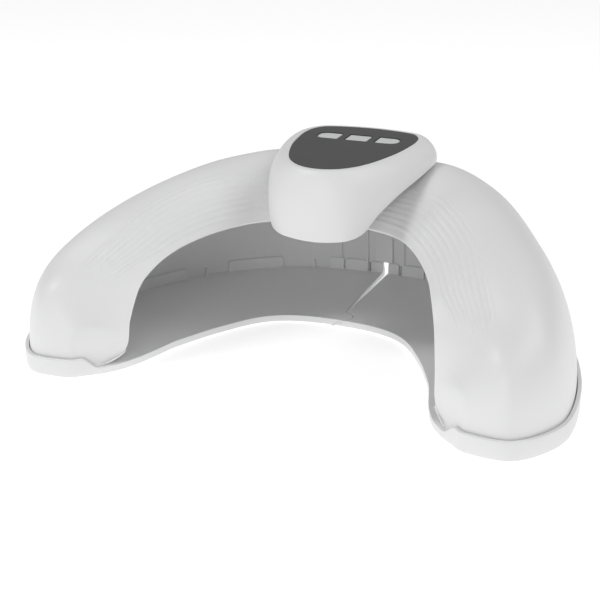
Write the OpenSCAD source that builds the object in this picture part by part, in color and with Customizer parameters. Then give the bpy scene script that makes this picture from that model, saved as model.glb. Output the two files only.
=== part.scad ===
// Two-hand curing lamp: two arched halves on a floor plate, hinged at the
// front centre, with a control pod over the hinge. Millimetres, +Z up,
// origin on the table under the middle of the bounding box.

/* [Base] */
// thickness of the floor plate
floor_t = 4.3; // [4:0.1:5]
// height of the collar around the outside, above the plate's underside
collar_h = 11.5; // [10:0.5:13]
// thickness of the collar
collar_t = 2.5; // [2:0.1:2.8]
// gap between the collar and the shell
collar_gap = 0.4; // [0.3:0.05:0.6]
// how far the plate stands above the table on its feet
lift = 1; // [0.8:0.1:1.4]
// radius of a rubber foot
foot_r = 5; // [4:0.5:6]

/* [Shell] */
// wall thickness of a shell
wall = 2.4; // [2:0.1:2.8]
// depth of a stiffening rib
rib_d = 2.2; // [1.6:0.1:2.6]

/* [Hinge] */
// distance of the hinge axis behind the origin
pivot_y = 25; // [24.5:0.1:25.5]
// angle of one seam face away from the middle plane
seam_deg = 1.15; // [1:0.05:1.3]
// play between the two halves at the hinge axis, on each side
seam_gap = 0.25; // [0.2:0.05:0.3]
// radius of the half-lapped knuckles in the floor
knuckle_r = 7; // [6.6:0.1:7.2]
// radius of the floor pin
pin_r = 2; // [1.6:0.1:2.4]
// radius of the upper hinge post
post_r = 4; // [3.5:0.1:4.5]
// radial play of a running fit
running = 0.05; // [0.02:0.01:0.09]
// radius of a hinge arm's ring
ring_r = 8; // [7.6:0.1:8.2]
// thickness of a hinge arm
arm_t = 3.5; // [3.2:0.1:3.6]

/* [Pod] */
// height of the panel plane at its reference line
top_z = 123.2; // [122.5:0.1:124]
// backward rise of the panel plane
tilt = 1.7; // [1.2:0.1:2.2]
// wall thickness of the pod
pod_wall = 2.2; // [2:0.1:2.4]
// thickness of the dark panel
panel_t = 1.2; // [1:0.1:1.4]
// white border around the panel
border = 1.6; // [1.3:0.1:2]
// thickness of the pod's bottom cover
cover_t = 2; // [1.6:0.1:2.2]

/* [Buttons] */
// width of a button window
window_w = 16; // [15:0.5:16.5]
// depth of a button window
window_d = 14.6; // [13:0.2:15.2]
// distance between button centres
button_pitch = 20.8; // [20.4:0.1:21.2]
// play around a button
button_gap = 0.35; // [0.3:0.05:0.5]

/* [Light] */
// height of the lamp tray's underside above the plate's underside
tray_z = 76; // [74:0.5:77]
// thickness of the lamp tray
tray_t = 2; // [1.6:0.1:2.4]
// radius of a hole for one lamp bead
bead_hole_r = 3.2; // [3:0.1:3.6]

/* [View] */
// node to show

/* [Hidden] */
eps = 0.01;
round_fn = 64;
white = [0.92, 0.92, 0.93];
inner_white = [0.88, 0.88, 0.89];
dark = [0.28, 0.28, 0.29];
steel = [0.72, 0.73, 0.75];
green = [0.1, 0.4, 0.22];

// stations of one half from the seam to the tip: outer line x, y; opening edge
// x, y, z; length of the profile's handle at the foot and at the edge; slope
// of the profile at the edge in degrees
plan = [
    [0, 124.4, 0, 9, 76.5, 92.6, 76, 42],
    [64.7, 114.6, 26, 6, 76.3, 102.6, 88, 44],
    [118.2, 77.5, 46, -2, 75.6, 89.6, 83, 53],
    [153.8, 24.4, 61, -19, 74.6, 79.4, 73, 61],
    [170.3, -25.8, 73, -37, 72.3, 78, 62, 49],
    [175, -72, 82, -53, 68.6, 77, 52, 31],
    [169.5, -99.5, 89, -69, 62.5, 80, 41, 5],
    [151, -122, 94.5, -82, 51, 76, 32, -22],
    [126, -122.6, 98, -90, 30, 50, 17.5, -53],
    [116.6, -116.8, 100, -93.5, 12, 7, 9, -40],
    [108, -109.3, 109.5, -106.7, 5, 0.3, 0.3, -85]];
last = len(plan) - 1;
// inner front line of the floor plate
front = [
    [0, 18], [24, 16], [40, 10.7], [51, 2.7], [59, -7], [66, -18],
    [72.5, -29], [77.5, -39], [82, -48.5], [86, -58], [89, -68.5], [92.3, -80],
    [96.3, -91], [101.4, -101], [108, -109.3]];
// pod from front to back: top line x, y; skirt line x, y, z
pod = [
    [0, -26.5, 0, -34, 76.5],
    [12, -23.5, 13, -33.5, 77.3],
    [21.5, -15.5, 23.5, -30.5, 78.8],
    [28, -5, 31, -23.5, 82.3],
    [33, 8, 37, -12, 92],
    [37.5, 24, 43.5, 5, 100],
    [40, 40, 48.5, 22, 104.8],
    [41, 54, 52, 39, 108.2],
    [38.5, 67, 52.5, 59, 110.5],
    [29, 76, 42, 77, 108.5],
    [0, 80, 0, 85, 105]];
pod_last = len(pod) - 1;

// places along the half where a rib stands
rib_u = [0.2, 0.54, 3.8, 5.6, 7.4];
rib_du = 0.024;
// the second rib ends above its tab
short_rib = 0.54;
seam_cut_r = ring_r + 1.5;
warp_x = 40;
fold_deg = 14;
steps_v = 18;
pod_rows = 10;
pod_cols = 44;
ref_y = 62;

// smooth curve through rows of a table
function spline(a, b, c, d, t) = 0.5 * (2 * b + (c - a) * t
    + (2 * a - 5 * b + 4 * c - d) * t * t + (3 * b - a - 3 * c + d) * t * t * t);
function flipped(r) = [for (i = [0 : len(r) - 1]) (i == 0 || i == 2) ? -r[i] : r[i]];
function row(t, i) = i < 0 ? flipped(t[1]) : i >= len(t) ? 2 * t[len(t) - 1] - t[len(t) - 2] : t[i];
function row_both(t, i) = i < 0 ? flipped(t[1])
    : i >= len(t) ? flipped(t[len(t) - 2]) : t[i];
function along(t, u) = let (i = min(floor(u), len(t) - 2))
    spline(row(t, i - 1), row(t, i), row(t, i + 1), row(t, i + 2), u - i);
function along_both(t, u) = let (i = min(floor(u), len(t) - 2))
    spline(row_both(t, i - 1), row_both(t, i), row_both(t, i + 1), row_both(t, i + 2), u - i);
function unit(v) = v / norm(v);
// outer line of a half, and its outward normal
function outline(u) = let (p = along(plan, u)) [p[0], p[1]];
function outward(u) = let (d = 0.02, a = outline(max(u - d, 0)), b = outline(min(u + d, last)),
    t = unit(b - a)) [-t[1], t[0]];
function inset(u, d) = outline(u) - outward(u) * d;

// profile of the shell at station u, from the foot (v = 0) to the edge (v = 1)
function profile(u, v) = let (
    p = along(plan, u),
    f2 = inset(u, collar_t + collar_gap),
    f = [f2[0], f2[1], floor_t],
    e = [p[2], p[3], p[4]],
    o = unit([f[0] - e[0], f[1] - e[1]]),
    f1 = f + [0, 0, p[5]],
    e1 = e + [o[0] * p[6] * cos(p[7]), o[1] * p[6] * cos(p[7]), p[6] * sin(p[7])],
    w = 1 - v)
    f * w * w * w + 3 * f1 * w * w * v + 3 * e1 * w * v * v + e * v * v * v;
function skin_normal(u, v) = let (d = 0.01,
    a = profile(max(u - d, 0), v), b = profile(min(u + d, last), v),
    g = profile(u, max(v - d, 0)), h = profile(u, min(v + d, 1)))
    unit(cross(b - a, h - g));
function skin(u, v, d) = profile(u, v) + skin_normal(u, v) * d;
// half width of the seam, the fold notch and the hinge opening at y
function seam_x(y) = let (s = y - pivot_y)
    max(seam_gap + (s > 0 ? s * tan(seam_deg) : -s * tan(fold_deg)),
        abs(s) < seam_cut_r ? sqrt(seam_cut_r * seam_cut_r - s * s) : 0);
function fitted(p) = let (x = max(p[0], 0), s = seam_x(p[1]))
    x < warp_x ? [s + x * (1 - s / warp_x), p[1], p[2]] : p;
function near_rib(u) = len([for (r = rib_u) if (abs(u - r) < rib_du * 0.75) 1]) > 0;
function depth_at(u, v) = near_rib(u) && v < 0.62 && (abs(u - short_rib) > 0.1 || v > 0.06)
    ? wall + rib_d : wall;
stations = [for (k = [0 : 52]) k * last / 52];
rib_stations = [for (r = rib_u) for (s = [-1, -0.7, 0.7, 1]) r + s * rib_du];
function sorted(a) = len(a) <= 1 ? a : let (m = a[floor(len(a) / 2)])
    concat(sorted([for (x = a) if (x < m) x]), [for (x = a) if (x == m) x],
        sorted([for (x = a) if (x > m) x]));
clear_of_ribs = [for (u = stations) if (len([for (r = rib_u)
    if (abs(u - r) < rib_du * 1.6) 1]) == 0) u];
cols = sorted(concat(clear_of_ribs, rib_stations));
function loop_at(u) = concat(
    [for (k = [0 : steps_v]) fitted(profile(u, k / steps_v))],
    [for (k = [steps_v : -1 : 0]) let (v = k / steps_v, p = skin(u, v, depth_at(u, v)))
        fitted([p[0], p[1], max(p[2], floor_t)])]);

module half_shell() {
    n = 2 * (steps_v + 1);
    m = len(cols);
    points = [for (u = cols) each loop_at(u)];
    sides = [for (i = [0 : m - 2]) for (j = [0 : n - 1]) let (k = (j + 1) % n)
        each [[i * n + j, (i + 1) * n + k, i * n + k],
            [i * n + j, (i + 1) * n + j, (i + 1) * n + k]]];
    ends = [for (j = [0 : steps_v - 1]) let (a = j, b = j + 1, c = n - 2 - j, d = n - 1 - j,
        z = (m - 1) * n)
        each [[a, c, d], [a, b, c], [z + a, z + d, z + c], [z + a, z + c, z + b]]];
    polyhedron(points = points, faces = concat(sides, ends), convexity = 8);
}

// floor plate of the right half
outer_pts = [for (k = [90 : -1 : 0]) outline(k * last / 90)];
front_pts = [for (k = [2 : 69]) let (p = along(front, k * (len(front) - 1) / 70)) p];
function seam_face(y) = seam_gap + (y > pivot_y ? (y - pivot_y) * tan(seam_deg)
    : (pivot_y - y) * tan(fold_deg));
back_y = plan[0][1];
seam_back = [seam_face(back_y), back_y];
outer_trim = [for (p = outer_pts) if (p[0] > seam_back[0] + 0.5) p];
collar_u = 8.9;

module plate_outline() {
    polygon(concat([[seam_face(front[0][1]), front[0][1]]], front_pts, outer_trim, [seam_back, [seam_gap, pivot_y]]));
}

module collar_outline(u0, u1) {
    n = 90;
    polygon(concat([for (k = [0 : n]) outline(u0 + (u1 - u0) * k / n)],
        [for (k = [n : -1 : 0]) inset(u0 + (u1 - u0) * k / n, collar_t)]));
}

module collar() {
    ramp_top = outline(collar_u);
    ramp_foot = outline(last);
    run = norm(ramp_foot - ramp_top);
    dir = atan2(ramp_foot[1] - ramp_top[1], ramp_foot[0] - ramp_top[0]);
    linear_extrude(collar_h)
        collar_outline(0.045, collar_u);
    intersection() {
        linear_extrude(collar_h)
            collar_outline(collar_u - 0.02, last - 0.02);
        translate([ramp_top[0], ramp_top[1], 0])
            rotate([90, 0, dir])
                linear_extrude(4 * collar_t, center = true)
                    polygon([[-2, 0], [-2, collar_h], [0.12 * run, collar_h - 0.5],
                        [0.3 * run, collar_h - 2], [0.6 * run, floor_t + 1.4],
                        [0.8 * run, floor_t + 0.5], [1.2 * run, floor_t + 0.2],
                        [1.2 * run, 0]]);
    }
}

// upright flanges that hold the foot of the shell against the collar: first
// and last place of each along the half
tab_span = [[0.04, 0.17], [0.23, 0.48], [0.5, 0.68], [1.26, 1.93], [2.48, 3.2], [4.1, 4.6],
    [4.9, 5.3], [6.1, 6.6]];
tab_h = 8.4;
tab_t = 1.4;
tab_in = collar_t + collar_gap + wall + 0.5;
fin_u = [0.87, 2.22];
fin_h = 6;
module band(u0, u1, d0, d1) {
    n = 10;
    polygon(concat([for (k = [0 : n]) inset(u0 + (u1 - u0) * k / n, d0)],
        [for (k = [n : -1 : 0]) inset(u0 + (u1 - u0) * k / n, d1)]));
}
module tabs() {
    translate([0, 0, floor_t - eps]) {
        for (t = tab_span)
            linear_extrude(tab_h)
                band(t[0], t[1], tab_in, tab_in + tab_t);
        for (u = fin_u)
            linear_extrude(fin_h)
                band(u - 0.012, u + 0.012, tab_in, tab_in + 1.5 * tab_t);
    }
}

foot_u = [0.3, 2.2, 4.4, 7.2];
foot_in = [20, 20, 20, 22];
foot_sunk = 0.8;
screw_u = [0.2, 3.8, 5.6, 7.4];
screw_head_r = 3;
screw_head_h = 1.6;
screw_r = 1.1;
screw_in = 5.2;
screw_reach = floor_t + 7;
module at_feet() {
    for (i = [0 : len(foot_u) - 1]) {
        p = inset(foot_u[i], foot_in[i]);
        translate([p[0], p[1], 0])
            children();
    }
}
module at_screws() {
    for (u = screw_u) {
        p = inset(u, screw_in);
        translate([p[0], p[1], 0])
            children();
    }
}

module plate_solid() {
    difference() {
        union() {
            linear_extrude(floor_t)
                plate_outline();
            collar();
            tabs();
        }
        at_feet()
            translate([0, 0, -eps])
                cylinder(r = foot_r, h = foot_sunk + eps, $fn = round_fn);
        at_screws() {
            translate([0, 0, -eps])
                cylinder(r = screw_head_r + 0.2, h = screw_head_h + 0.25, $fn = round_fn);
            translate([0, 0, -eps])
                cylinder(r = screw_r, h = 2 * floor_t, $fn = round_fn);
        }
    }
}

lap_z = floor_t / 2;
module base_right() {
    color(white)
        translate([0, 0, lift])
            difference() {
                union() {
                    plate_solid();
                    translate([0, pivot_y, 0])
                        cylinder(r = knuckle_r, h = lap_z - 0.15, $fn = round_fn);
                }
                translate([0, pivot_y, lap_z - 0.15])
                    cylinder(r = knuckle_r + 0.4, h = floor_t, $fn = round_fn);
                translate([0, pivot_y, -eps])
                    cylinder(r = pin_r, h = floor_t, $fn = round_fn);
            }
}

module base_left() {
    color(white)
        translate([0, 0, lift])
            difference() {
                union() {
                    difference() {
                        mirror([1, 0, 0])
                            plate_solid();
                        translate([0, pivot_y, -eps])
                            cylinder(r = knuckle_r + 0.4, h = lap_z + 0.15 + eps, $fn = round_fn);
                    }
                    translate([0, pivot_y, lap_z + 0.15])
                        cylinder(r = knuckle_r, h = floor_t - lap_z - 0.15, $fn = round_fn);
                }
                translate([0, pivot_y, -eps])
                    cylinder(r = pin_r + running, h = 2 * floor_t, $fn = round_fn);
            }
}

module floor_pin() {
    color(steel)
        translate([0, pivot_y, lift + 0.3])
            cylinder(r = pin_r, h = floor_t - 0.5, $fn = round_fn);
}

module drilled_shell() {
    difference() {
        half_shell();
        at_screws()
            cylinder(r = screw_r, h = screw_reach + 0.5, $fn = 24);
    }
}

// strip inside the left shell that laps behind the seam
lip_over = 6;
lip_gap = 0.7;
lip_t = 1.2;
function back_at(v, d) = let (p = profile(0, v), n = skin_normal(0.02, v)) [p[1] + n[1] * d, p[2] + n[2] * d];
function lip_ring(v) = let (
    a = back_at(v, wall - 0.3), b = back_at(v, wall + lip_gap), c = back_at(v, wall + lip_gap + lip_t),
    s = seam_x(a[0]) + 0.6)
    [[-lip_over - 2, a[0], a[1]], [-s, a[0], a[1]], [-s, b[0], b[1]], [lip_over, b[0], b[1]],
        [lip_over, c[0], c[1]], [-lip_over - 2, c[0], c[1]]];
module seam_strip() {
    n = 6;
    m = 24;
    points = [for (k = [0 : m]) each lip_ring(0.033 + 0.532 * k / m)];
    sides = [for (i = [0 : m - 1]) for (j = [0 : n - 1]) let (k = (j + 1) % n)
        each [[i * n + j, i * n + k, (i + 1) * n + k], [i * n + j, (i + 1) * n + k, (i + 1) * n + j]]];
    polyhedron(points = points, faces = concat(sides, [[for (j = [n - 1 : -1 : 0]) j]],
        [[for (j = [0 : n - 1]) m * n + j]]), convexity = 4);
}

module seam_lip() {
    color(inner_white)
        translate([0, 0, lift])
            seam_strip();
}

module shell_right() {
    color(white)
        translate([0, 0, lift])
            drilled_shell();
}

module shell_left() {
    color(white)
        translate([0, 0, lift])
            mirror([1, 0, 0])
                drilled_shell();
}

// steel arms that join the shells to the post
arm_z = 90;
arm_gap = 0.5;
arm_w = 9;
module arm(z, reach, turn) {
    difference() {
        union() {
            cylinder(r = ring_r, h = arm_t, $fn = round_fn);
            rotate([0, 0, turn])
                translate([0, -arm_w / 2, 0])
                    cube([reach, arm_w, arm_t]);
            rotate([0, 0, turn])
                translate([reach, 0, 0])
                    cylinder(r = arm_w / 2, h = arm_t, $fn = round_fn);
        }
        translate([0, 0, -1])
            cylinder(r = post_r + running, h = arm_t + 2, $fn = round_fn);
    }
}

module arm_left() {
    color(steel)
        translate([0, pivot_y, lift + arm_z])
            arm(0, 24, 163);
}

module arm_right() {
    color(steel)
        translate([0, pivot_y, lift + arm_z + arm_t + arm_gap])
            arm(0, 26, 27);
}

boss_z = arm_z + 2 * arm_t + 2 * arm_gap;
cover_z = 109.6;
module hinge_post() {
    color(steel)
        translate([0, pivot_y, lift + arm_z - 3])
            cylinder(r = post_r, h = cover_z - arm_z + 3 + cover_t, $fn = round_fn);
}

clip_t = 1.2;
module post_clip() {
    color(steel)
        translate([0, pivot_y, lift + arm_z - arm_gap - clip_t])
            difference() {
                cylinder(r = post_r + 2.4, h = clip_t, $fn = round_fn);
                translate([0, 0, -1])
                    cylinder(r = post_r, h = clip_t + 2, $fn = round_fn);
            }
}

// lamp tray, circuit board and beads under the roof
tray_in = 0.3;
tray_out = 0.66;
tray_u0 = 0.22;
tray_u1 = 4.1;
function across(u, f) = let (p = along(plan, u), a = [p[2], p[3]], b = [p[0], p[1]]) a + (b - a) * f;
bead_u = [for (k = [0 : 8]) 0.42 + k * 0.44];
bead_f = [0.38, 0.58];
tray_post_u = [0.9, 2.1, 3.3];
module strip(u0, u1, f0, f1) {
    n = 40;
    polygon(concat([for (k = [0 : n]) across(u0 + (u1 - u0) * k / n, f0)],
        [for (k = [n : -1 : 0]) across(u0 + (u1 - u0) * k / n, f1)]));
}
module at_beads() {
    for (u = bead_u)
        for (f = bead_f) {
            p = across(u, f);
            translate([p[0], p[1], 0])
                children();
        }
}

module tray() {
    difference() {
        union() {
            linear_extrude(tray_t)
                strip(tray_u0, tray_u1, tray_in, tray_out);
            for (u = tray_post_u) {
                p = skin(u, 0.58, wall);
                translate([p[0], p[1], 0])
                    cylinder(r = 3, h = p[2] - tray_z + 1, $fn = round_fn);
            }
        }
        at_beads()
            translate([0, 0, -1])
                cylinder(r = bead_hole_r, h = tray_t + 2, $fn = round_fn);
        sensor_spot()
            translate([0, 0, -1])
                cylinder(r = 2.6, h = tray_t + 2, $fn = round_fn);
    }
}

sensor_at = 2.4;
module sensor_spot() {
    p = across(sensor_at, 0.48);
    translate([p[0], p[1], 0])
        children();
}

board_t = 1.6;
module board() {
    difference() {
        linear_extrude(board_t)
            strip(tray_u0 + 0.08, tray_u1 - 0.08, tray_in + 0.03, tray_out - 0.03);
        for (u = tray_post_u) {
            p = skin(u, 0.58, wall);
            translate([p[0], p[1], -1])
                cylinder(r = 3.3, h = board_t + 2, $fn = round_fn);
        }
    }
}

module beads() {
    at_beads()
        translate([0, 0, -0.6]) {
            cylinder(r = 2.5, h = tray_t + 0.6, $fn = round_fn);
            cylinder(r1 = 1.2, r2 = 2.2, h = eps * 10, $fn = round_fn);
        }
}

module sensor() {
    sensor_spot()
        translate([0, 0, -0.8])
            cylinder(r = 2.4, h = tray_t + 0.8, $fn = round_fn);
}

module place_tray() {
    translate([0, 0, lift + tray_z])
        children();
}
module tray_right() {
    color(inner_white)
        place_tray()
            tray();
}
module tray_left() {
    color(inner_white)
        place_tray()
            mirror([1, 0, 0])
                tray();
}
module board_right() {
    color(green)
        place_tray()
            translate([0, 0, tray_t])
                board();
}
module board_left() {
    color(green)
        place_tray()
            mirror([1, 0, 0])
                translate([0, 0, tray_t])
                    board();
}
module beads_right() {
    color([0.95, 0.9, 0.6])
        place_tray()
            beads();
}
module beads_left() {
    color([0.95, 0.9, 0.6])
        place_tray()
            mirror([1, 0, 0])
                beads();
}
module sensor_right() {
    color(dark)
        place_tray()
            sensor();
}
module sensor_left() {
    color(dark)
        place_tray()
            mirror([1, 0, 0])
                sensor();
}

module feet_set() {
    at_feet()
        cylinder(r = foot_r, h = lift + foot_sunk, $fn = round_fn);
}
module feet_right() {
    color(dark)
        feet_set();
}
module feet_left() {
    color(dark)
        mirror([1, 0, 0])
            feet_set();
}

module screw_set() {
    translate([0, 0, lift + 0.2])
        at_screws() {
            cylinder(r = screw_head_r, h = screw_head_h, $fn = round_fn);
            cylinder(r = screw_r, h = screw_reach - 0.2, $fn = round_fn);
        }
}
module screws_right() {
    color(steel)
        screw_set();
}
module screws_left() {
    color(steel)
        mirror([1, 0, 0])
            screw_set();
}

// pod
function pod_u(k) = k * pod_last / pod_cols;
function top_height(y) = top_z + (y - ref_y) * tan(tilt);
function top_at(u) = let (p = along_both(pod, u)) [p[0], p[1]];
function skirt_at(u) = let (p = along_both(pod, u)) [p[2], p[3], p[4]];
function line_out(a, b) = let (t = unit(b - a)) [t[1], -t[0]];
function top_out(u) = u <= 0 ? [0, -1] : u >= pod_last ? [0, 1]
    : line_out(top_at(max(u - 0.05, 0)), top_at(min(u + 0.05, pod_last)));
function skirt_out(u) = u <= 0 ? [0, -1] : u >= pod_last ? [0, 1]
    : let (a = skirt_at(max(u - 0.05, 0)), b = skirt_at(min(u + 0.05, pod_last)))
    line_out([a[0], a[1]], [b[0], b[1]]);
shoulder = 6;
bulge = 3;
function pod_pt(u, v, d) = let (
    t = top_at(u), n = top_out(u), s = skirt_at(u), m = skirt_out(u),
    h = top_height(t[1]),
    p0 = [t[0] - n[0] * d, t[1] - n[1] * d, h - (d > 0 ? d + panel_t : 0)],
    p3 = [s[0] - m[0] * d, s[1] - m[1] * d, s[2]],
    p1 = p0 + [n[0], n[1], 0] * shoulder,
    p2 = p3 + [m[0] * bulge, m[1] * bulge, 0.5 * (h - s[2])],
    w = 1 - v)
    p0 * w * w * w + 3 * p1 * w * w * v + 3 * p2 * w * v * v + p3 * v * v * v;
function right_col(k) = concat(
    [for (j = [0 : pod_rows]) pod_pt(pod_u(k), j / pod_rows, 0)],
    [for (j = [pod_rows : -1 : 0]) pod_pt(pod_u(k), j / pod_rows, pod_wall)]);
function flip_col(c) = [for (p = c) [-p[0], p[1], p[2]]];

module pod_skin() {
    n = 2 * (pod_rows + 1);
    ring = concat([for (k = [0 : pod_cols]) right_col(k)],
        [for (k = [pod_cols - 1 : -1 : 1]) flip_col(right_col(k))]);
    m = len(ring);
    mid_top = [0, 27, top_height(27)];
    mid_in = [0, 27, top_height(27) - pod_wall - panel_t];
    points = concat([for (c = ring) each c], [mid_top, mid_in]);
    sides = [for (i = [0 : m - 1]) let (q = (i + 1) % m) for (j = [0 : n - 2])
        each [[i * n + j, q * n + j + 1, i * n + j + 1], [i * n + j, q * n + j, q * n + j + 1]]];
    caps = [for (i = [0 : m - 1]) let (q = (i + 1) % m)
        each [[m * n, q * n, i * n], [m * n + 1, i * n + n - 1, q * n + n - 1]]];
    polyhedron(points = points, faces = concat(sides, caps), convexity = 6);
}

module on_panel() {
    translate([0, ref_y, lift + top_z])
        rotate([tilt, 0, 0])
            translate([0, -ref_y, 0])
                children();
}

module top_outline(d) {
    n = 80;
    right = [for (k = [0 : n]) let (u = k * pod_last / n) top_at(u) - top_out(u) * d];
    polygon(concat(right, [for (k = [n - 1 : -1 : 1]) [-right[k][0], right[k][1]]]));
}

window_y = 51.8;
window_r = 3;
module window(i, grow) {
    w = window_w + 2 * grow;
    d = window_d + 2 * grow;
    end_r = 6;
    translate([i * button_pitch, window_y])
        hull()
            for (sx = [-1, 1])
                for (sy = [-1, 1]) {
                    r = (i == sx ? end_r : 1.2) + grow;
                    translate([sx * (w / 2 - r), sy * (d / 2 - r)])
                        circle(r = r, $fn = 40);
                }
}

module panel() {
    color(dark)
        on_panel()
            translate([0, 0, -panel_t])
                linear_extrude(panel_t)
                    difference() {
                        top_outline(border + 0.1);
                        for (i = [-1 : 1])
                            window(i, 0);
                    }
}

inlet_z = 115.9;
inlet_r = 3.6;
pod_screw_at = [[-24, 1], [24, 1], [-30, 65], [30, 65]];
module pod_housing() {
    color(white)
        difference() {
            union() {
                translate([0, 0, lift])
                    pod_skin();
                for (p = pod_screw_at)
                    translate([p[0], p[1], lift + cover_z + cover_t])
                        cylinder(r = 3, h = top_height(p[1]) - panel_t - 1 - cover_z - cover_t, $fn = 32);
            }
            for (p = pod_screw_at)
                translate([p[0], p[1], lift + cover_z])
                    cylinder(r = 1.2, h = 8.4, $fn = 32);
            on_panel()
                translate([0, 0, -panel_t])
                    linear_extrude(panel_t + 1)
                        top_outline(border);
            on_panel()
                for (i = [-1 : 1])
                    translate([0, 0, -2 * panel_t - pod_wall - 1])
                        linear_extrude(10)
                            window(i, 0);
            translate([0, 67, lift + inlet_z])
                rotate([-90, 0, 0])
                    cylinder(r = inlet_r + 0.1, h = 30, $fn = round_fn);
        }
}

module cover_outline() {
    n = 60;
    right = [for (k = [0 : n]) let (u = k * pod_last / n) top_at(u) - top_out(u) * 2];
    polygon(concat(right, [for (k = [n - 1 : -1 : 1]) [-right[k][0], right[k][1]]]));
}

module pod_cover() {
    color(inner_white)
        translate([0, 0, lift])
            difference() {
                union() {
                    translate([0, 0, cover_z])
                        linear_extrude(cover_t)
                            cover_outline();
                    translate([0, pivot_y, boss_z])
                        cylinder(r = ring_r, h = cover_z - boss_z + eps, $fn = round_fn);
                }
                translate([0, pivot_y, boss_z - 1])
                    cylinder(r = post_r, h = 30, $fn = round_fn);
                for (p = pod_screw_at)
                    translate([p[0], p[1], cover_z - 1]) {
                        cylinder(r = 1.2, h = 8.4, $fn = 32);
                        cylinder(r = 2.6, h = 2, $fn = 32);
                    }
            }
}

module pod_screws() {
    color(steel)
        for (p = pod_screw_at)
            translate([p[0], p[1], lift + cover_z]) {
                translate([0, 0, 0.1])
                    cylinder(r = 2.4, h = 0.9, $fn = round_fn);
                translate([0, 0, 0.5])
                    cylinder(r = 1.2, h = 6, $fn = 32);
            }
}

board_z = cover_z + cover_t + 1;
module control_board() {
    color(green)
        translate([0, 0, lift + board_z])
            difference() {
                translate([-27, 33, 0])
                    cube([54, 28, board_t]);
                translate([0, pivot_y, -1])
                    cylinder(r = post_r + 1, h = 10, $fn = round_fn);
            }
}

switch_h = 2.6;
module switches() {
    color(dark)
        for (i = [-1 : 1])
            translate([i * button_pitch, window_y, lift + board_z + board_t]) {
                translate([-3, -3, 0])
                    cube([6, 6, switch_h - 0.8]);
                cylinder(r = 1.7, h = switch_h, $fn = round_fn);
            }
}

module power_inlet() {
    color(dark)
        translate([0, 0, lift + inlet_z])
            difference() {
                union() {
                    translate([-4.5, 67, -3.1])
                        cube([9, 11, 6.4]);
                    translate([0, 67, 0])
                        rotate([-90, 0, 0])
                            cylinder(r = inlet_r, h = 17, $fn = round_fn);
                }
                translate([0, 73, 0])
                    rotate([-90, 0, 0])
                        difference() {
                            cylinder(r = 2.75, h = 20, $fn = round_fn);
                            translate([0, 0, -1])
                                cylinder(r = 1, h = 10, $fn = round_fn);
                        }
            }
}

cap_t = 2.4;
sunk = 0.4;
stem_r = 2;
module button(i) {
    on_panel() {
        translate([0, 0, -sunk - cap_t])
            linear_extrude(cap_t)
                window(i, -button_gap);
        translate([i * button_pitch, window_y, -sunk - cap_t - 1.1])
            cylinder(r = stem_r, h = 1.2, $fn = round_fn);
    }
}
module button_left() {
    color(white)
        button(-1);
}
module button_middle() {
    color(white)
        button(0);
}
module button_right() {
    color(white)
        button(1);
}

base_left();
base_right();
shell_left();
shell_right();
arm_left();
arm_right();
tray_left();
tray_right();
board_left();
board_right();
beads_left();
beads_right();
sensor_left();
sensor_right();
feet_left();
feet_right();
screws_left();
screws_right();
floor_pin();
seam_lip();
pod_housing();
pod_cover();
pod_screws();
panel();
control_board();
switches();
power_inlet();
hinge_post();
post_clip();
button_left();
button_middle();
button_right();
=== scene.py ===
import math

import bmesh
import bpy
import numpy as np
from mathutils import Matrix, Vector, geometry


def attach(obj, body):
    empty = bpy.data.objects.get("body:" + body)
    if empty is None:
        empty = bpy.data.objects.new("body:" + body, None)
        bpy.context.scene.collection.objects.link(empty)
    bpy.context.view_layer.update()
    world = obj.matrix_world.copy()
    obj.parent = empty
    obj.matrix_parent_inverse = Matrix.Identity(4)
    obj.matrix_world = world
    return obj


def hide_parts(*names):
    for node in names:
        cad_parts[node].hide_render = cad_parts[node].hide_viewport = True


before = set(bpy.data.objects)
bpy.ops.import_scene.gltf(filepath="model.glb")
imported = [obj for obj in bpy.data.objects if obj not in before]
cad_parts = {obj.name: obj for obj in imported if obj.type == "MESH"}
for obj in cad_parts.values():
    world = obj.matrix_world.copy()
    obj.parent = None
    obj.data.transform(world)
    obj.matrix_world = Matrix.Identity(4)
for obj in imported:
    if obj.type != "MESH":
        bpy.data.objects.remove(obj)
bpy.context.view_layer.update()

MM = 0.001
LIFT = 1.0
FLOOR_T, COLLAR_H, COLLAR_T, COLLAR_GAP = 4.3, 11.5, 2.5, 0.4
WALL, RIB_D = 2.4, 2.2
PIVOT_Y, SEAM_DEG, SEAM_GAP, FOLD_DEG = 25.0, 1.15, 0.25, 14.0
KNUCKLE_R, CUT_R, WARP_X = 7.0, 9.5, 40.0
TOP_Z, TILT, REF_Y = 123.2, 1.7, 62.0
POD_WALL, PANEL_T, BORDER = 2.2, 1.2, 1.6
WINDOW_W, WINDOW_D, PITCH, WINDOW_Y, BUTTON_GAP = 16.0, 14.6, 20.8, 51.8, 0.35
BUTTON_SUNK, BUTTON_T = 0.4, 2.4

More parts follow.
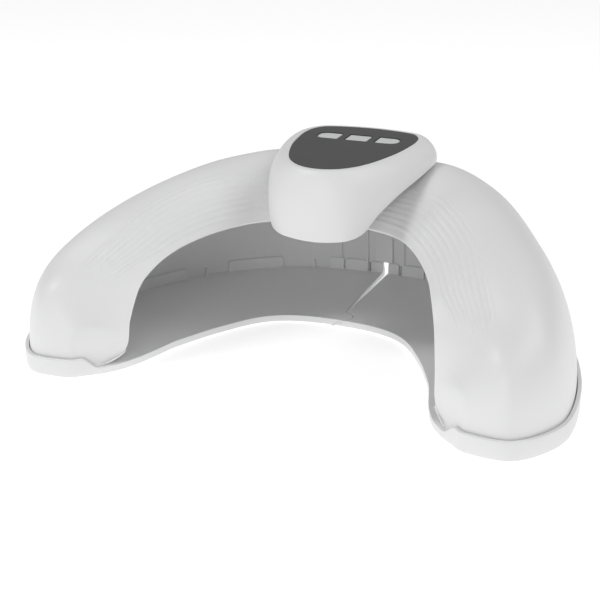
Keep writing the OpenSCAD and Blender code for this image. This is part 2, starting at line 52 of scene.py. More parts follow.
# Stations of one half from the seam to the tip: outer line x, y; opening edge
# x, y, z; handle lengths at the foot and at the edge; slope at the edge.
PLAN = np.array([
    [0, 124.4, 0, 9, 76.5, 92.6, 76, 42],
    [64.7, 114.6, 26, 6, 76.3, 102.6, 88, 44],
    [118.2, 77.5, 46, -2, 75.6, 89.6, 83, 53],
    [153.8, 24.4, 61, -19, 74.6, 79.4, 73, 61],
    [170.3, -25.8, 73, -37, 72.3, 78, 62, 49],
    [175, -72, 82, -53, 68.6, 77, 52, 31],
    [169.5, -99.5, 89, -69, 62.5, 80, 41, 5],
    [151, -122, 94.5, -82, 51, 76, 32, -22],
    [126, -122.6, 98, -90, 30, 50, 17.5, -53],
    [116.6, -116.8, 100, -93.5, 12, 7, 9, -40],
    [108, -109.3, 109.5, -106.7, 5, 0.3, 0.3, -85]], float)
LAST = len(PLAN) - 1
FRONT = np.array([
    [0, 18], [24, 16], [40, 10.7], [51, 2.7], [59, -7], [66, -18],
    [72.5, -29], [77.5, -39], [82, -48.5], [86, -58], [89, -68.5], [92.3, -80],
    [96.3, -91], [101.4, -101], [108, -109.3]], float)
POD = np.array([
    [0, -26.5, 0, -34, 76.5],
    [12, -23.5, 13, -33.5, 77.3],
    [21.5, -15.5, 23.5, -30.5, 78.8],
    [28, -5, 31, -23.5, 82.3],
    [33, 8, 37, -12, 92],
    [37.5, 24, 43.5, 5, 100],
    [40, 40, 48.5, 22, 104.8],
    [41, 54, 52, 39, 108.2],
    [38.5, 67, 52.5, 59, 110.5],
    [29, 76, 42, 77, 108.5],
    [0, 80, 0, 85, 105]], float)
POD_LAST = len(POD) - 1
RIB_U = (0.2, 0.54, 3.8, 5.6, 7.4)
RIB_DU = 0.024
SHORT_RIB = 0.54
LIP_OVER, LIP_GAP, LIP_T, LIP_V = 6.0, 0.7, 1.2, (0.033, 0.565)


def spline(table, u, mirror_end=False):
    """Smooth curve through the rows of a table; row 0 is mirrored in x."""
    u = np.asarray(u, float)
    flip = np.ones(table.shape[1])
    flip[0] = -1
    if table.shape[1] > 2:
        flip[2] = -1
    first = table[1] * flip
    end = table[-2] * flip if mirror_end else 2 * table[-1] - table[-2]
    t = np.vstack([first, table, end])
    i = np.minimum(np.floor(u).astype(int), len(table) - 2)
    f = (u - i)[..., None]
    a, b, c, d = t[i], t[i + 1], t[i + 2], t[i + 3]
    return 0.5 * (2 * b + (c - a) * f + (2 * a - 5 * b + 4 * c - d) * f ** 2
                  + (3 * b - a - 3 * c + d) * f ** 3)


def unit(v):
    return v / np.maximum(np.linalg.norm(v, axis=-1, keepdims=True), 1e-9)


def outline(u):
    return spline(PLAN, u)[..., :2]


def outward(u):
    u = np.asarray(u, float)
    t = unit(outline(np.minimum(u + 0.02, LAST)) - outline(np.maximum(u - 0.02, 0)))
    return np.stack([-t[..., 1], t[..., 0]], -1)


def inset(u, d):
    return outline(u) - outward(u) * d


def profile(u, v):
    """Shell surface: u along the half, v from the foot (0) to the edge (1)."""
    p = spline(PLAN, u)
    f = np.concatenate([inset(u, COLLAR_T + COLLAR_GAP),
                        np.full(p.shape[:-1] + (1,), FLOOR_T)], -1)
    e = p[..., 2:5]
    o = unit(f[..., :2] - e[..., :2])
    rad = np.radians(p[..., 7])
    f1 = f + np.stack([0 * rad, 0 * rad, p[..., 5]], -1)
    reach = p[..., 6] * np.cos(rad)
    e1 = e + np.stack([o[..., 0] * reach, o[..., 1] * reach, p[..., 6] * np.sin(rad)], -1)
    v = np.asarray(v, float)[..., None]
    w = 1 - v
    return f * w ** 3 + 3 * f1 * w * w * v + 3 * e1 * w * v * v + e * v ** 3


def face_x(y):
    """Flat seam face of the right half at depth y."""
    s = y - PIVOT_Y
    return SEAM_GAP + np.where(s > 0, s * math.tan(math.radians(SEAM_DEG)),
                               -s * math.tan(math.radians(FOLD_DEG)))


def seam_x(y):
    """Seam of the shells: the flat face, cleared round the hinge."""
    s = y - PIVOT_Y
    ring = np.where(np.abs(s) < CUT_R, np.sqrt(np.maximum(CUT_R ** 2 - s ** 2, 0)), 0)
    return np.maximum(face_x(y), ring)


def fitted(p):
    """Shell points squeezed sideways so that the half ends at the seam."""
    x = np.maximum(p[..., 0], 0)
    s = seam_x(p[..., 1])
    q = p.copy()
    q[..., 0] = np.where(x < WARP_X, s + x * (1 - s / WARP_X), p[..., 0])
    return q


def new_object(name, points, faces, body=None, mirror=False, angle=35):
    pts = np.array(points, float).reshape(-1, 3).copy()
    if mirror:
        pts[:, 0] *= -1
        faces = [tuple(reversed(f)) for f in faces]
    mesh = bpy.data.meshes.new(name)
    mesh.from_pydata((pts * MM).tolist(), [], [tuple(f) for f in faces])
    mesh.validate()
    solid = bmesh.new()
    solid.from_mesh(mesh)
    bmesh.ops.recalc_face_normals(solid, faces=solid.faces)
    solid.to_mesh(mesh)
    solid.free()
    mesh.polygons.foreach_set("use_smooth", [True] * len(mesh.polygons))
    mesh.set_sharp_from_angle(angle=math.radians(angle))
    obj = bpy.data.objects.new(name, mesh)
    bpy.context.scene.collection.objects.link(obj)
    if body:
        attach(obj, body)
    return obj


def tube_faces(n_cols, n_ring, flip=False):
    """Quads of a closed ring of points repeated along columns."""
    i = np.arange(n_cols - 1)[:, None]
    j = np.arange(n_ring)[None, :]
    k = (j + 1) % n_ring
    q = np.stack([i * n_ring + j, (i + 1) * n_ring + j, (i + 1) * n_ring + k,
                  i * n_ring + k], -1).reshape(-1, 4)
    return (q[:, ::-1] if flip else q).tolist()


# Shell ----------------------------------------------------------------------
V_STEPS = np.concatenate([np.linspace(0, 0.56, 44)[:-1], np.linspace(0.56, 1, 120)])
RIPPLES, RIPPLE_H = 9, 0.65


def smooth_step(x, a, b):
    t = np.clip((x - a) / (b - a), 0, 1)
    return t * t * (3 - 2 * t)


def ripple_height(u, s):
    """Fine wave ridges that follow the opening, in mm; s is the distance from the edge."""
    start = 3.5 + 18 * smooth_step(u, 5.4, 7.3)
    far = 40 + 9 * smooth_step(u, 5, 7.2)
    n = (s - start) / ((far - start) / RIPPLES)
    wave = 0.5 - 0.5 * np.cos(2 * np.pi * n)
    window = smooth_step(n, 0, 0.5) * (1 - smooth_step(n, RIPPLES - 1.2, RIPPLES))
    fade = 1 - smooth_step(u + 0.03 * n, 6.2, 7.3)
    return RIPPLE_H * wave * window * fade


def half_shell(name, body, mirror):
    base_u = np.linspace(0, LAST, 230)
    keep = np.all([np.abs(base_u - r) > RIB_DU * 1.7 for r in RIB_U], axis=0)
    rib_u = [r + s * RIB_DU for r in RIB_U for s in (-1.05, -0.85, -0.6, 0, 0.6, 0.85, 1.05)]
    us = np.sort(np.concatenate([base_u[keep], rib_u]))
    u, v = np.meshgrid(us, V_STEPS, indexing="ij")
    outer = profile(u, v)
    d = 0.004
    du = profile(np.minimum(u + d, LAST), v) - profile(np.maximum(u - d, 0), v)
    dv = profile(u, np.minimum(v + d, 1)) - profile(u, np.maximum(v - d, 0))
    normal = -unit(np.cross(du, dv))
    step = np.linalg.norm(np.diff(outer, axis=1), axis=-1)
    s = np.zeros_like(u)
    s[:, :-1] = np.cumsum(step[:, ::-1], axis=1)[:, ::-1]
    rib = np.zeros_like(u)
    for r in RIB_U:
        across = 1 - smooth_step(np.abs(u - r) / RIB_DU, 0.6, 0.95)
        foot = smooth_step(v, 0.035, 0.04) if r == SHORT_RIB else 1
        rib = np.maximum(rib, across * foot)
    depth = WALL + RIB_D * rib * (1 - smooth_step(v, 0.56, 0.66))
    depth = depth * (1 - 0.7 * smooth_step(u, 8.4, 9.5))
    inner = outer - normal * depth[..., None]
    inner[..., 2] = np.maximum(inner[..., 2], FLOOR_T)
    # a half-round lip joins the skins: it swells forward of the edge by half the wall
    ang = np.linspace(0, np.pi, 10)[1:-1]
    tang = unit(dv[:, -1])
    mid = 0.5 * (outer[:, -1] + inner[:, -1])
    half = 0.5 * (outer[:, -1] - inner[:, -1])
    lip = (mid[:, None] + half[:, None] * np.cos(ang)[None, :, None]
           + tang[:, None] * (WALL * 0.45 * (1 - smooth_step(us, 8.2, 9.6)))[:, None, None]
           * np.sin(ang)[None, :, None])
    top = outer + normal * ripple_height(u, s)[..., None]
    ring = np.concatenate([fitted(top), fitted(lip), fitted(inner[:, ::-1])], axis=1)
    ring[..., 2] += LIFT
    n = ring.shape[1]
    faces = tube_faces(len(us), n, flip=False)
    nv, nl = len(V_STEPS), len(ang)
    for col, rev in ((0, False), (len(us) - 1, True)):
        o = col * n
        for j in range(nv - 1):
            q = (o + j, o + j + 1, o + n - 2 - j, o + n - 1 - j)
            faces.append(q[::-1] if rev else q)
        cap = tuple(o + nv - 1 + k for k in range(nl + 2))
        faces.append(cap[::-1] if rev else cap)
    return new_object(name, ring, faces, body, mirror)


# Shared outline helpers ------------------------------------------------------
def inward_loops(loop, offsets, share=1):
    """Closed loop of points moved inward by each offset, with mitred corners."""
    p = np.array(loop, float)
    a = unit(p - np.roll(p, 1, 0))
    b = unit(np.roll(p, -1, 0) - p)
    na = np.stack([-a[:, 1], a[:, 0]], 1)
    nb = np.stack([-b[:, 1], b[:, 0]], 1)
    m = unit(na + nb)
    scale = share / np.maximum((m * na).sum(1), 0.5)
    return [p + m * (scale * d)[:, None] for d in offsets]


def cap(points, faces, loop_ids, holes=(), up=True, plane=(0, 1)):
    """Triangulated cap inside a loop of vertex ids, with holes of vertex ids."""
    at = lambda i: (points[i][plane[0]], points[i][plane[1]])
    ids = list(loop_ids) + [i for h in holes for i in h]
    co = [Vector(at(i)) for i in ids]
    n = len(loop_ids)
    edges = [(k, (k + 1) % n) for k in range(n)]
    start = n
    for h in holes:
        edges += [(start + k, start + (k + 1) % len(h)) for k in range(len(h))]
        start += len(h)
    out = geometry.delaunay_2d_cdt(co, edges, [list(range(n))], 1, 1e-6)
    source = [o[0] if o else None for o in out[3]]
    rings = [np.array([at(i) for i in h]) for h in holes]
    for tri in out[2]:
        if any(source[t] is None for t in tri):
            continue
        mid = sum((out[0][t] for t in tri), Vector((0, 0))) / 3
        if any(inside(mid, r) for r in rings):
            continue
        q = [ids[source[t]] for t in tri]
        a, b, c = (np.array(at(i)) for i in q)
        ccw = (b[0] - a[0]) * (c[1] - a[1]) > (b[1] - a[1]) * (c[0] - a[0])
        faces.append(tuple(q if ccw == up else q[::-1]))


def inside(p, ring):
    x, y = ring[:, 0], ring[:, 1]
    x2, y2 = np.roll(x, -1), np.roll(y, -1)
    cross = ((y > p[1]) != (y2 > p[1]))
    dy = np.where(y2 == y, 1e-12, y2 - y)
    return int(np.sum(cross & (p[0] < (x2 - x) * (p[1] - y) / dy + x))) % 2 == 1


def bridge(faces, a, b):
    """Quads between two closed loops of vertex ids."""
    for k in range(len(a)):
        j = (k + 1) % len(a)
        faces.append((a[k], a[j], b[j], b[k]))


def stack(points, faces, loops):
    """Adds closed loops of 3-D points, joined by quads; returns their vertex ids."""
    ids = []
    for loop in loops:
        first = len(points)
        points.extend([tuple(float(c) for c in q) for q in loop])
        ids.append(list(range(first, len(points))))
    for a, b in zip(ids[:-1], ids[1:]):
        bridge(faces, a, b)
    return ids


def level(loop, z):
    z = np.broadcast_to(np.asarray(z, float), (len(loop),))
    return np.column_stack([loop, z])


def circle(x, y, r, n=40):
    t = np.arange(n) * 2 * np.pi / n
    return np.column_stack([x + r * np.cos(t), y + r * np.sin(t)])


# Base ------------------------------------------------------------------------
TAB_SPAN = ((0.04, 0.17), (0.23, 0.48), (0.5, 0.68), (1.26, 1.93), (2.48, 3.2),
            (4.1, 4.6), (4.9, 5.3), (6.1, 6.6))
FIN_U = (0.87, 2.22)
TAB_IN, TAB_T, TAB_H, FIN_H = COLLAR_T + COLLAR_GAP + WALL + 0.5, 1.4, 8.4, 6.0
SCREW_U, SCREW_IN, SCREW_R, SCREW_DEEP = (0.2, 3.8, 5.6, 7.4), 5.2, 3.2, 1.85
TAB_ROUND = 1.8
COLLAR_U = 8.9


def arc(r, a0, a1, n=41):
    t = np.radians(np.linspace(a0, a1, n))
    return np.column_stack([r * np.cos(t), PIVOT_Y + r * np.sin(t)])


def base_loop(disc):
    """Anticlockwise outline of the right half; disc adds the knuckle, else it is cut."""
    fy = FRONT[0, 1]
    rc = KNUCKLE_R + 0.4
    end_x = math.sqrt(rc ** 2 - (PIVOT_Y - fy) ** 2) + 0.1
    fu = np.linspace(0, len(FRONT) - 1, 260)
    front = spline(FRONT, fu)
    front = front[front[:, 0] > end_x + 0.3]
    ou = np.concatenate([np.linspace(LAST, 0.6, 330), np.linspace(0.58, 0.05, 18)])
    outer = outline(ou)[1:]
    by = PLAN[0, 1]
    corner = np.array([[float(face_x(by)), by]])
    back = np.array([[float(face_x(y)), y] for y in np.linspace(by - 3, PIVOT_Y + rc + 0.3, 30)])
    if disc:
        knuckle = arc(KNUCKLE_R, 87, 270, 61)
    else:
        knuckle = arc(rc, 87, math.degrees(math.atan2(fy - PIVOT_Y, end_x)), 61)
    loop = np.vstack([front, outer, corner, back, knuckle])
    rise = np.concatenate([np.zeros(len(front)), collar_rise(ou[1:]),
                           np.zeros(1 + len(back) + len(knuckle))])
    return loop, rise


def collar_rise(u):
    a, b = outline(COLLAR_U), outline(float(LAST))
    t = np.linalg.norm(outline(u) - a, axis=-1) / np.linalg.norm(b - a)
    full = COLLAR_H - FLOOR_T
    return np.where(u < COLLAR_U, full, full * (1 - smooth_step(t, -0.02, 0.88)) + 0.05)


def base_half(name, body, mirror):
    lower, low_rise = base_loop(not mirror)
    upper, rise = base_loop(mirror)
    lap = FLOOR_T / 2 + (0.15 if mirror else -0.15)
    low = inward_loops(lower, (3.5, 0.5, 0.25, 0.08, 0), np.clip(low_rise, 0.3, 1))
    up = inward_loops(upper, (0, 0.1, 0.3, 0.7, 1.2, COLLAR_T - 0.5, COLLAR_T - 0.18, COLLAR_T,
                              COLLAR_T + 0.05, COLLAR_T + 0.3, COLLAR_T + 2.2),
                      np.clip(rise / 4, 0.14, 1))
    top = FLOOR_T + rise
    tall = lambda drop: FLOOR_T + np.maximum(rise - drop, 0)
    loops = [level(low[0], 0), level(low[1], 0), level(low[2], 0.05), level(low[3], 0.2),
             level(low[4], 0.45), level(low[4], lap), level(up[0], lap),
             level(up[0], top - 0.9), level(up[1], top - 0.5), level(up[2], top - 0.2),
             level(up[3], top - 0.02), level(up[4], top), level(up[5], top),
             level(up[6], tall(0.15)), level(up[7], tall(0.5)),
             level(up[8], FLOOR_T + np.minimum(rise, 0.35)), level(up[9], FLOOR_T),
             level(up[10], FLOOR_T)]
    points, faces = [], []
    ids = stack(points, faces, [q + [0, 0, LIFT] for q in loops])
    cap(points, faces, ids[-1], (), True)
    holes = []
    for u in SCREW_U:
        x, y = inset(u, SCREW_IN)
        rings = [level(circle(x, y, r), z + LIFT) for r, z in
                 ((SCREW_R + 0.2, 0), (SCREW_R, 0.2), (SCREW_R, SCREW_DEEP), (1.0, SCREW_DEEP))]
        hole = stack(points, faces, rings)
        faces.append(tuple(hole[-1]))
        holes.append(hole[0])
    cap(points, faces, ids[0], holes, False)
    for span, height, depth in ([(s, TAB_H, TAB_T) for s in TAB_SPAN]
                                + [((u - 0.012, u + 0.012), FIN_H, 1.5 * TAB_T) for u in FIN_U]):
        upright(points, faces, span, height, depth)
    return new_object(name, points, faces, body, mirror, 32)


def upright(points, faces, span, height, depth):
    """Curved flange on the floor with rounded upper corners and soft edges."""
    n = 36 if span[1] - span[0] > 0.1 else 8
    length = np.linalg.norm(outline(span[1]) - outline(span[0]))
    r = min(TAB_ROUND, length * 0.3)
    u = span[0] + (span[1] - span[0]) * (0.5 - 0.5 * np.cos(np.linspace(0, np.pi, n)))
    s = (u - span[0]) / (span[1] - span[0]) * length
    e = np.minimum(s, length - s)
    drop = np.where(e < r, r - np.sqrt(np.maximum(r * r - (r - e) ** 2, 0)), 0)
    z = LIFT + FLOOR_T + height - drop
    foot = np.full(n, LIFT + FLOOR_T - 0.3)
    shape = [(0, foot), (0, z - 0.3), (0.1, z - 0.08), (0.3, z), (depth - 0.3, z),
             (depth - 0.1, z - 0.08), (depth, z - 0.3), (depth, foot)]
    cols = np.stack([level(inset(u, TAB_IN + d), zz) for d, zz in shape], 1)
    first = len(points)
    points.extend([tuple(q) for q in cols.reshape(-1, 3).tolist()])
    m = len(shape)
    faces.extend([tuple(first + i for i in f) for f in tube_faces(n, m, True)])
    faces.append(tuple(first + i for i in range(m)))
    faces.append(tuple(first + (n - 1) * m + i for i in range(m - 1, -1, -1)))


# Pod --------------------------------------------------------------------------
SHOULDER, BULGE = 6.0, 3.0
INLET_Z, INLET_R = 115.9, 3.7
TILT_TAN = math.tan(math.radians(TILT))


def pod_line(u):
    """Full ring of top points and skirt points with outward directions."""
    p = spline(POD, u, True)
    d = 0.02
    a = spline(POD, np.maximum(u - d, 0), True)
    b = spline(POD, np.minimum(u + d, POD_LAST), True)
    t, m = unit(b[:, :2] - a[:, :2]), unit(b[:, 2:4] - a[:, 2:4])
    n = np.stack([t[:, 1], -t[:, 0]], 1)
    k = np.stack([m[:, 1], -m[:, 0]], 1)
    n[0], n[-1], k[0], k[-1] = (0, -1), (0, 1), (0, -1), (0, 1)
    return p, n, k


def whole(right):
    """Right-hand row of points made into an anticlockwise closed loop."""
    left = right[-2:0:-1].copy()
    left[:, 0] *= -1
    return np.vstack([right, left])


def panel_z(y):
    return TOP_Z + (y - REF_Y) * TILT_TAN


def pod_section(p, n, k, v, d):
    h = panel_z(p[:, 1])
    p0 = np.column_stack([p[:, :2] - n * d, h - (d + PANEL_T if d > 0 else 0)])
    p3 = np.column_stack([p[:, 2:4] - k * d, p[:, 4]])
    p1 = p0 + np.column_stack([n, 0 * h]) * SHOULDER
    bulge = BULGE - 2.4 * smooth_step(p[:, 1:2], 15, 50)
    p2 = p3 + np.column_stack([k * bulge, 0.5 * (h - p[:, 4])])
    w = 1 - v
    return p0 * w ** 3 + 3 * p1 * w * w * v + 3 * p2 * w * v * v + p3 * v ** 3


def window_loop(i, grow, n=12):
    """Outline of a button window; the outer buttons have a round outer end."""
    w, d = WINDOW_W / 2 + grow, WINDOW_D / 2 + grow
    out = []
    for sx, sy, a0 in ((1, 1, 0), (-1, 1, 90), (-1, -1, 180), (1, -1, 270)):
        r = max((6 if i == sx else 1.2) + grow, 0.2)
        t = np.radians(np.linspace(a0, a0 + 90, n))
        out.append(np.column_stack([i * PITCH + sx * (w - r) + r * np.cos(t),
                                    WINDOW_Y + sy * (d - r) + r * np.sin(t)]))
    return np.vstack(out)


def on_plane(loop, depth):
    """Loop on the tilted panel plane, lowered by depth."""
    return level(loop, LIFT + panel_z(loop[:, 1]) - depth)


def inlet_mouth(points, faces, ids, rows, outside):
    """Opens the back wall round the power inlet; returns the ring of the mouth."""
    m = len(ids[0])
    mid = min(range(m), key=lambda k: -points[ids[rows[0]][k]][1])
    cols = [(mid + k) % m for k in range(-9, 10)]
    high = lambda r: points[ids[r][mid]][2] - LIFT - INLET_Z
    inner = [r for r in rows if abs(high(r)) < INLET_R + 0.9]
    a, b = min(inner), max(inner)
    for r in range(a, b):
        for k in cols[:-1]:
            faces[r * m + k] = None
    edge = ([ids[a][k] for k in cols] + [ids[r][cols[-1]] for r in range(a + 1, b)]
            + [ids[b][k] for k in cols[::-1]] + [ids[r][cols[0]] for r in range(b - 1, a, -1)])
    near = np.array([points[ids[r][k]] for r in range(a, b + 1) for k in cols])
    dx, dz = near[:, 0], near[:, 2] - LIFT - INLET_Z
    basis = lambda x, z: np.stack([1 + 0 * x, x * x, z, z * z, z * z * z, x * x * z], -1)
    fit = np.linalg.lstsq(basis(dx, dz), near[:, 1], rcond=None)[0]
    t = np.arange(48) * 2 * np.pi / 48
    x, z = INLET_R * np.cos(t), INLET_R * np.sin(t)
    first = len(points)
    points.extend(np.column_stack([x, basis(x, z) @ fit, z + LIFT + INLET_Z]).tolist())
    ring = list(range(first, first + 48))
    cap(points, faces, edge, [ring], not outside, (0, 2))
    return ring


def pod_housing():
    u = np.linspace(0, POD_LAST, 161)
    p, n, k = pod_line(u)
    top = lambda d, z: on_plane(whole(p[:, :2] - n * d), z)
    wall = lambda v, d: whole(pod_section(p, n, k, v, d)) + [0, 0, LIFT]
    outer = [wall(v, 0) for v in np.linspace(0, 1, 41)]
    inner = [wall(v, POD_WALL) for v in np.linspace(1, 0, 21)]
    rim_a = outer[-1] * 0.75 + inner[0] * 0.25 - [0, 0, 0.35]
    rim_b = outer[-1] * 0.25 + inner[0] * 0.75 - [0, 0, 0.35]
    loops = ([top(BORDER, PANEL_T), top(BORDER, 0.25), top(BORDER - 0.1, 0.06),
              top(BORDER - 0.3, 0)] + outer + [rim_a, rim_b] + inner)
    points, faces = [], []
    ids = stack(points, faces, [q[::-1] for q in loops])
    n_out, n_in = 4 + len(outer), 4 + len(outer) + 2
    mouth = [inlet_mouth(points, faces, ids, range(4, n_out), True),
             inlet_mouth(points, faces, ids, range(n_in, len(ids)), False)]
    bridge(faces, mouth[0], mouth[1])
    faces[:] = [f for f in faces if f]
    holes_top, holes_in = [], []
    depth = PANEL_T + POD_WALL
    for i in (-1, 0, 1):
        w = window_loop(i, 0)[::-1]
        ring = stack(points, faces, [on_plane(w, depth), on_plane(w, PANEL_T)])
        holes_in.append(ring[0])
        holes_top.append(ring[1])
    cap(points, faces, ids[0], holes_top, True)
    cap(points, faces, ids[-1], holes_in, False)
    return new_object("pod_skin", points, faces, "pod", False, 35)


def panel_plate():
    u = np.linspace(0, POD_LAST, 161)
    p, n, _ = pod_line(u)
    top = lambda d, z: on_plane(whole(p[:, :2] - n * d), z)
    edge = BORDER + 0.1
    points, faces = [], []
    ids = stack(points, faces, [top(edge, PANEL_T - 0.02), top(edge, 0.3), top(edge + 0.08, 0.1),
                                top(edge + 0.25, 0.01), top(edge + 1.2, 0.01)])
    upper, lower = [], []
    for i in (-1, 0, 1):
        ring = stack(points, faces, [on_plane(window_loop(i, g), z) for g, z in
                                     ((1.0, 0.01), (0.2, 0.01), (0.05, 0.08), (0, 0.25),
                                      (0, PANEL_T - 0.02))])
        upper.append(ring[0])
        lower.append(ring[-1])
    cap(points, faces, ids[-1], upper, True)
    cap(points, faces, ids[0], lower, False)
    return new_object("panel_plate", points, faces, "pod", False, 35)


def button_cap(i, name, body):
    g = -BUTTON_GAP
    deep = BUTTON_SUNK + BUTTON_T
    rings = [(g - 0.6, deep), (g - 0.1, deep), (g, deep - 0.15), (g, BUTTON_SUNK + 0.6)]
    rings += [(g - 0.6 * (1 - math.cos(a)), BUTTON_SUNK + 0.6 - 0.55 * math.sin(a))
              for a in np.radians((22, 45, 67, 90))]
    rings += [(g - 1.1, BUTTON_SUNK + 0.02)]
    points, faces = [], []
    ids = stack(points, faces, [on_plane(window_loop(i, a), b) for a, b in rings])
    cap(points, faces, ids[0], (), False)
    cap(points, faces, ids[-1], (), True)
    stem = stack(points, faces, [on_plane(circle(i * PITCH, WINDOW_Y, 2.0), z)
                                 for z in (deep + 1.1, deep - 0.2)])
    faces.append(tuple(stem[0][::-1]))
    faces.append(tuple(stem[1]))
    return new_object(name, points, faces, body, False, 35)


def seam_lip():
    """Lip of the left shell that laps behind the seam."""
    n = 61
    v = LIP_V[0] + (LIP_V[1] - LIP_V[0]) * np.arange(n) / (n - 1)
    a, b = profile(np.zeros(n), v), profile(np.full(n, 0.02), v)
    dv = profile(np.zeros(n), v + 0.004) - profile(np.zeros(n), v - 0.004)
    nrm = -unit(np.cross(b - a, dv))
    at = lambda d: a[:, 1:] - nrm[:, 1:] * d
    near, face, far = at(WALL - 0.6), at(WALL + LIP_GAP), at(WALL + LIP_GAP + LIP_T)
    soft = at(WALL + LIP_GAP + LIP_T - 0.3)
    s = seam_x(near[:, 0]) + 0.6
    one = np.ones(n)
    ring = [(-(LIP_OVER + 2) * one, near), (-s, near), (-s, face),
            ((LIP_OVER - 0.25) * one, face), (LIP_OVER * one, at(WALL + LIP_GAP + 0.25)),
            (LIP_OVER * one, soft), ((LIP_OVER - 0.3) * one, far),
            (-(LIP_OVER + 1.7) * one, far), (-(LIP_OVER + 2) * one, soft)]
    cols = np.stack([np.column_stack([x, q]) for x, q in ring], 1) + [0, 0, LIFT]
    m = len(ring)
    faces = tube_faces(n, m)
    faces.append(tuple(range(m)))
    faces.append(tuple((n - 1) * m + i for i in range(m - 1, -1, -1)))
    return new_object("seam_strip", cols, faces, "left_half")


# Materials ------------------------------------------------------------------
def material(name, color, rough, **k):
    m = bpy.data.materials.new(name)
    m.use_nodes = True
    nt = m.node_tree
    b = nt.nodes["Principled BSDF"]
    b.inputs["Roughness"].default_value = rough
    for key in ("Metallic", "Coat Weight", "Coat Roughness", "Subsurface Weight", "IOR"):
        if key in k:
            b.inputs[key].default_value = k[key]
    coord = nt.nodes.new("ShaderNodeTexCoord")
    noise = nt.nodes.new("ShaderNodeTexNoise")
    noise.inputs["Scale"].default_value = k.get("scale", 900)
    noise.inputs["Detail"].default_value = 4
    nt.links.new(coord.outputs["Object"], noise.inputs["Vector"])
    bump = nt.nodes.new("ShaderNodeBump")
    bump.inputs["Strength"].default_value = k.get("bump", 0.05)
    bump.inputs["Distance"].default_value = 0.0002
    nt.links.new(noise.outputs["Fac"], bump.inputs["Height"])
    nt.links.new(bump.outputs["Normal"], b.inputs["Normal"])
    ramp = nt.nodes.new("ShaderNodeMapRange")
    ramp.inputs["To Min"].default_value = rough - k.get("vary", 0.04)
    ramp.inputs["To Max"].default_value = rough + k.get("vary", 0.04)
    broad = nt.nodes.new("ShaderNodeTexNoise")
    broad.inputs["Scale"].default_value = k.get("broad", 25)
    broad.inputs["Detail"].default_value = 3
    nt.links.new(coord.outputs["Object"], broad.inputs["Vector"])
    nt.links.new(broad.outputs["Fac"], ramp.inputs["Value"])
    nt.links.new(ramp.outputs["Result"], b.inputs["Roughness"])
    mix = nt.nodes.new("ShaderNodeMix")
    mix.data_type = "RGBA"
    tint = k.get("tint", 0.97)
    mix.inputs["A"].default_value = (*[c * tint for c in color], 1)
    mix.inputs["B"].default_value = (*color, 1)
    nt.links.new(broad.outputs["Fac"], mix.inputs["Factor"])
    nt.links.new(mix.outputs["Result"], b.inputs["Base Color"])
    return m


WHITE = material("white_plastic", (0.88, 0.88, 0.885), 0.42, bump=0.04)
TRAY = material("tray_plastic", (0.84, 0.84, 0.85), 0.5, bump=0.08)
PANEL = material("panel_plastic", (0.055, 0.055, 0.058), 0.38, bump=0.03, scale=1400)
BUTTON = material("button_plastic", (0.74, 0.76, 0.75), 0.4, bump=0.03)
BOARD = material("board_green", (0.03, 0.13, 0.06), 0.4)
BEAD = material("bead_clear", (0.75, 0.68, 0.3), 0.15)
BLACK = material("black_plastic", (0.02, 0.02, 0.02), 0.3)
STEEL = material("hinge_steel", (0.6, 0.61, 0.62), 0.3, Metallic=1.0)
RUBBER = material("foot_rubber", (0.04, 0.04, 0.04), 0.8, bump=0.3)
FINISH = {
    "base_left": WHITE, "base_right": WHITE, "shell_left": WHITE, "shell_right": WHITE,
    "arm_left": STEEL, "arm_right": STEEL, "tray_left": TRAY, "tray_right": TRAY,
    "board_left": BOARD, "board_right": BOARD, "beads_left": BEAD, "beads_right": BEAD,
    "sensor_left": BLACK, "sensor_right": BLACK, "feet_left": RUBBER,
    "feet_right": RUBBER, "screws_left": STEEL, "screws_right": STEEL,
    "floor_pin": STEEL, "seam_lip": WHITE, "pod_housing": WHITE, "pod_cover": TRAY,
    "pod_screws": STEEL,
    "panel": PANEL, "control_board": BOARD, "switches": BLACK, "power_inlet": BLACK,
    "hinge_post": STEEL, "post_clip": STEEL, "button_left": BUTTON,
    "button_middle": BUTTON, "button_right": BUTTON}
for node, mat in FINISH.items():
    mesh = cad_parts[node].data
    mesh.materials.clear()
    mesh.materials.append(mat)


def dress(obj, mat, slot, *nodes):
    obj.data.materials.clear()
    obj.data.materials.append(mat)
    if nodes:
        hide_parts(*nodes)
    return obj


for side, mirror in (("right", False), ("left", True)):
    dress(half_shell("shell_skin_" + side, side + "_half", mirror), WHITE,
          "housing_white", "shell_" + side)
    dress(base_half("base_skin_" + side, side + "_half", mirror), WHITE,
          "housing_white", "base_" + side)
dress(seam_lip(), WHITE, "housing_white", "seam_lip")
dress(pod_housing(), WHITE, "housing_white", "pod_housing")
dress(panel_plate(), PANEL, "panel_dark", "panel")
for i, side in ((-1, "left"), (0, "middle"), (1, "right")):
    dress(button_cap(i, "button_cap_" + side, "button_" + "abc"[i + 1]), BUTTON,
          "button_white", "button_" + side)

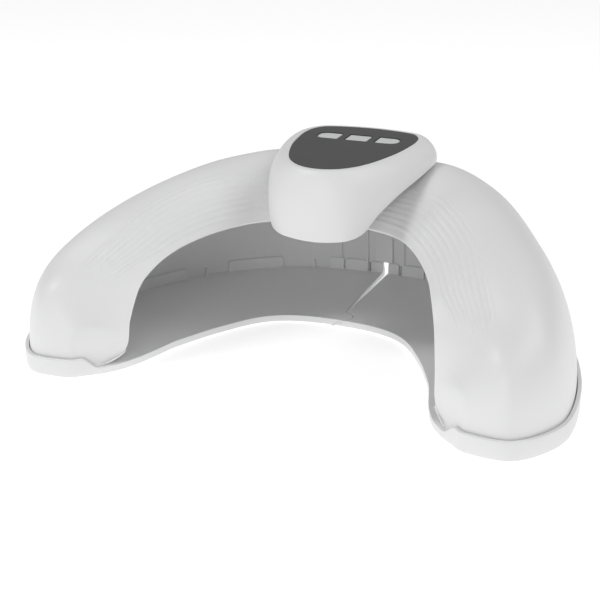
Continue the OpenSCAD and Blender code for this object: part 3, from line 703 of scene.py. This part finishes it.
# Stage ----------------------------------------------------------------------
scene = bpy.context.scene
floor_mesh = bpy.data.meshes.new("floor")
floor_mesh.from_pydata([(-4, -3, 0), (4, -3, 0), (4, 5, 0), (-4, 5, 0)], [], [(0, 1, 2, 3)])
floor = bpy.data.objects.new("floor", floor_mesh)
scene.collection.objects.link(floor)
floor_mat = material("floor_white", (0.6, 0.6, 0.6), 0.9, bump=0.0)
glow = floor_mat.node_tree.nodes["Principled BSDF"].inputs
glow["Emission Color"].default_value = (1, 1, 1, 1)
glow["Emission Strength"].default_value = 0.68
floor.data.materials.append(floor_mat)

world = bpy.data.worlds.new("world")
scene.world = world
world.use_nodes = True
world.node_tree.nodes["Background"].inputs[0].default_value = (1, 1, 1, 1)
world.node_tree.nodes["Background"].inputs[1].default_value = 0.36


def area(name, loc, target, size, power):
    light = bpy.data.lights.new(name, "AREA")
    light.shape = "DISK"
    light.size = size
    light.energy = power
    obj = bpy.data.objects.new(name, light)
    scene.collection.objects.link(obj)
    obj.location = loc
    obj.rotation_euler = (Vector(target) - Vector(loc)).to_track_quat("-Z", "Y").to_euler()


area("key", (-1.0, -0.6, 1.6), (0, 0, 0.05), 0.7, 9.5)
area("side", (1.2, 0.3, 1.3), (0, 0, 0.05), 1.2, 7)
area("front", (0.1, -1.9, 0.55), (0, 0, 0.05), 0.9, 4.5)

AZ, EL, DIST = math.radians(22.213), math.radians(21.391), 0.71433
TARGET = Vector((0, -0.04345, 0.04183 + LIFT * MM))
cam_data = bpy.data.cameras.new("camera")
cam_data.sensor_width = 36
cam_data.lens = 68.95
cam_data.shift_x = -0.00725
cam_data.shift_y = -0.0017
cam_data.clip_start = 0.01
cam = bpy.data.objects.new("camera", cam_data)
scene.collection.objects.link(cam)
view_dir = Vector((math.sin(AZ) * math.cos(EL), -math.cos(AZ) * math.cos(EL), math.sin(EL)))
cam.location = TARGET + view_dir * DIST
cam.rotation_euler = (-view_dir).to_track_quat("-Z", "Y").to_euler()
scene.camera = cam
scene.view_settings.view_transform = "Standard"
